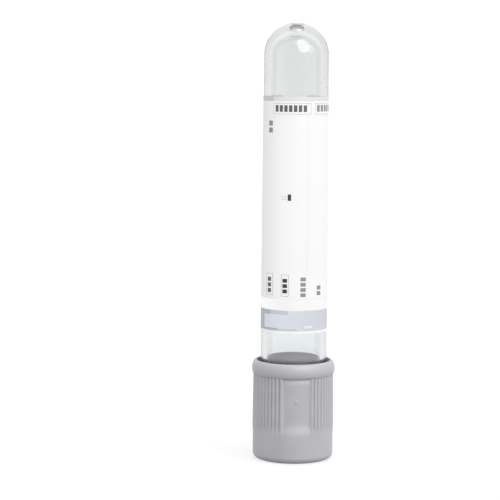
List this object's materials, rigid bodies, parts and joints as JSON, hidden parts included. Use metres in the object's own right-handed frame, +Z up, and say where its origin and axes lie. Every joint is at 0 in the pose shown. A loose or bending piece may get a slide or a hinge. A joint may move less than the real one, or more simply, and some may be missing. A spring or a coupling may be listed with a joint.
{
  "type": "blood collection tube",
  "caption": "Clear round-ended sample tube with a wrapped label, closed by a rubber stopper in a ribbed cap with a needle hole, standing on the cap.",
  "frame": {"origin": "centre of the cap's head face, which the tube stands on", "axes": "+Z up along the tube towards its round end, -Y towards the front panel and the printed side of the label"},
  "size_m": [0.0164, 0.0164, 0.0854],
  "materials": {
    "clear_tube": "clear polished polyester",
    "label_film": "satin white film with printed fields",
    "stopper_rubber": "matt grey butyl rubber",
    "cap_plastic": "satin moulded pale lavender grey"
  },
  "bodies": {
    "closure": {"cap": "cap_plastic", "stopper": "stopper_rubber"},
    "labelled_tube": {"tube": "clear_tube", "label": "label_film"}
  },
  "joints": [
    {"name": "closure_pull", "type": "slide", "parent": "closure", "child": "labelled_tube", "axis": [0, 0, 1], "range_m": [0, 0.02]}
  ]
}
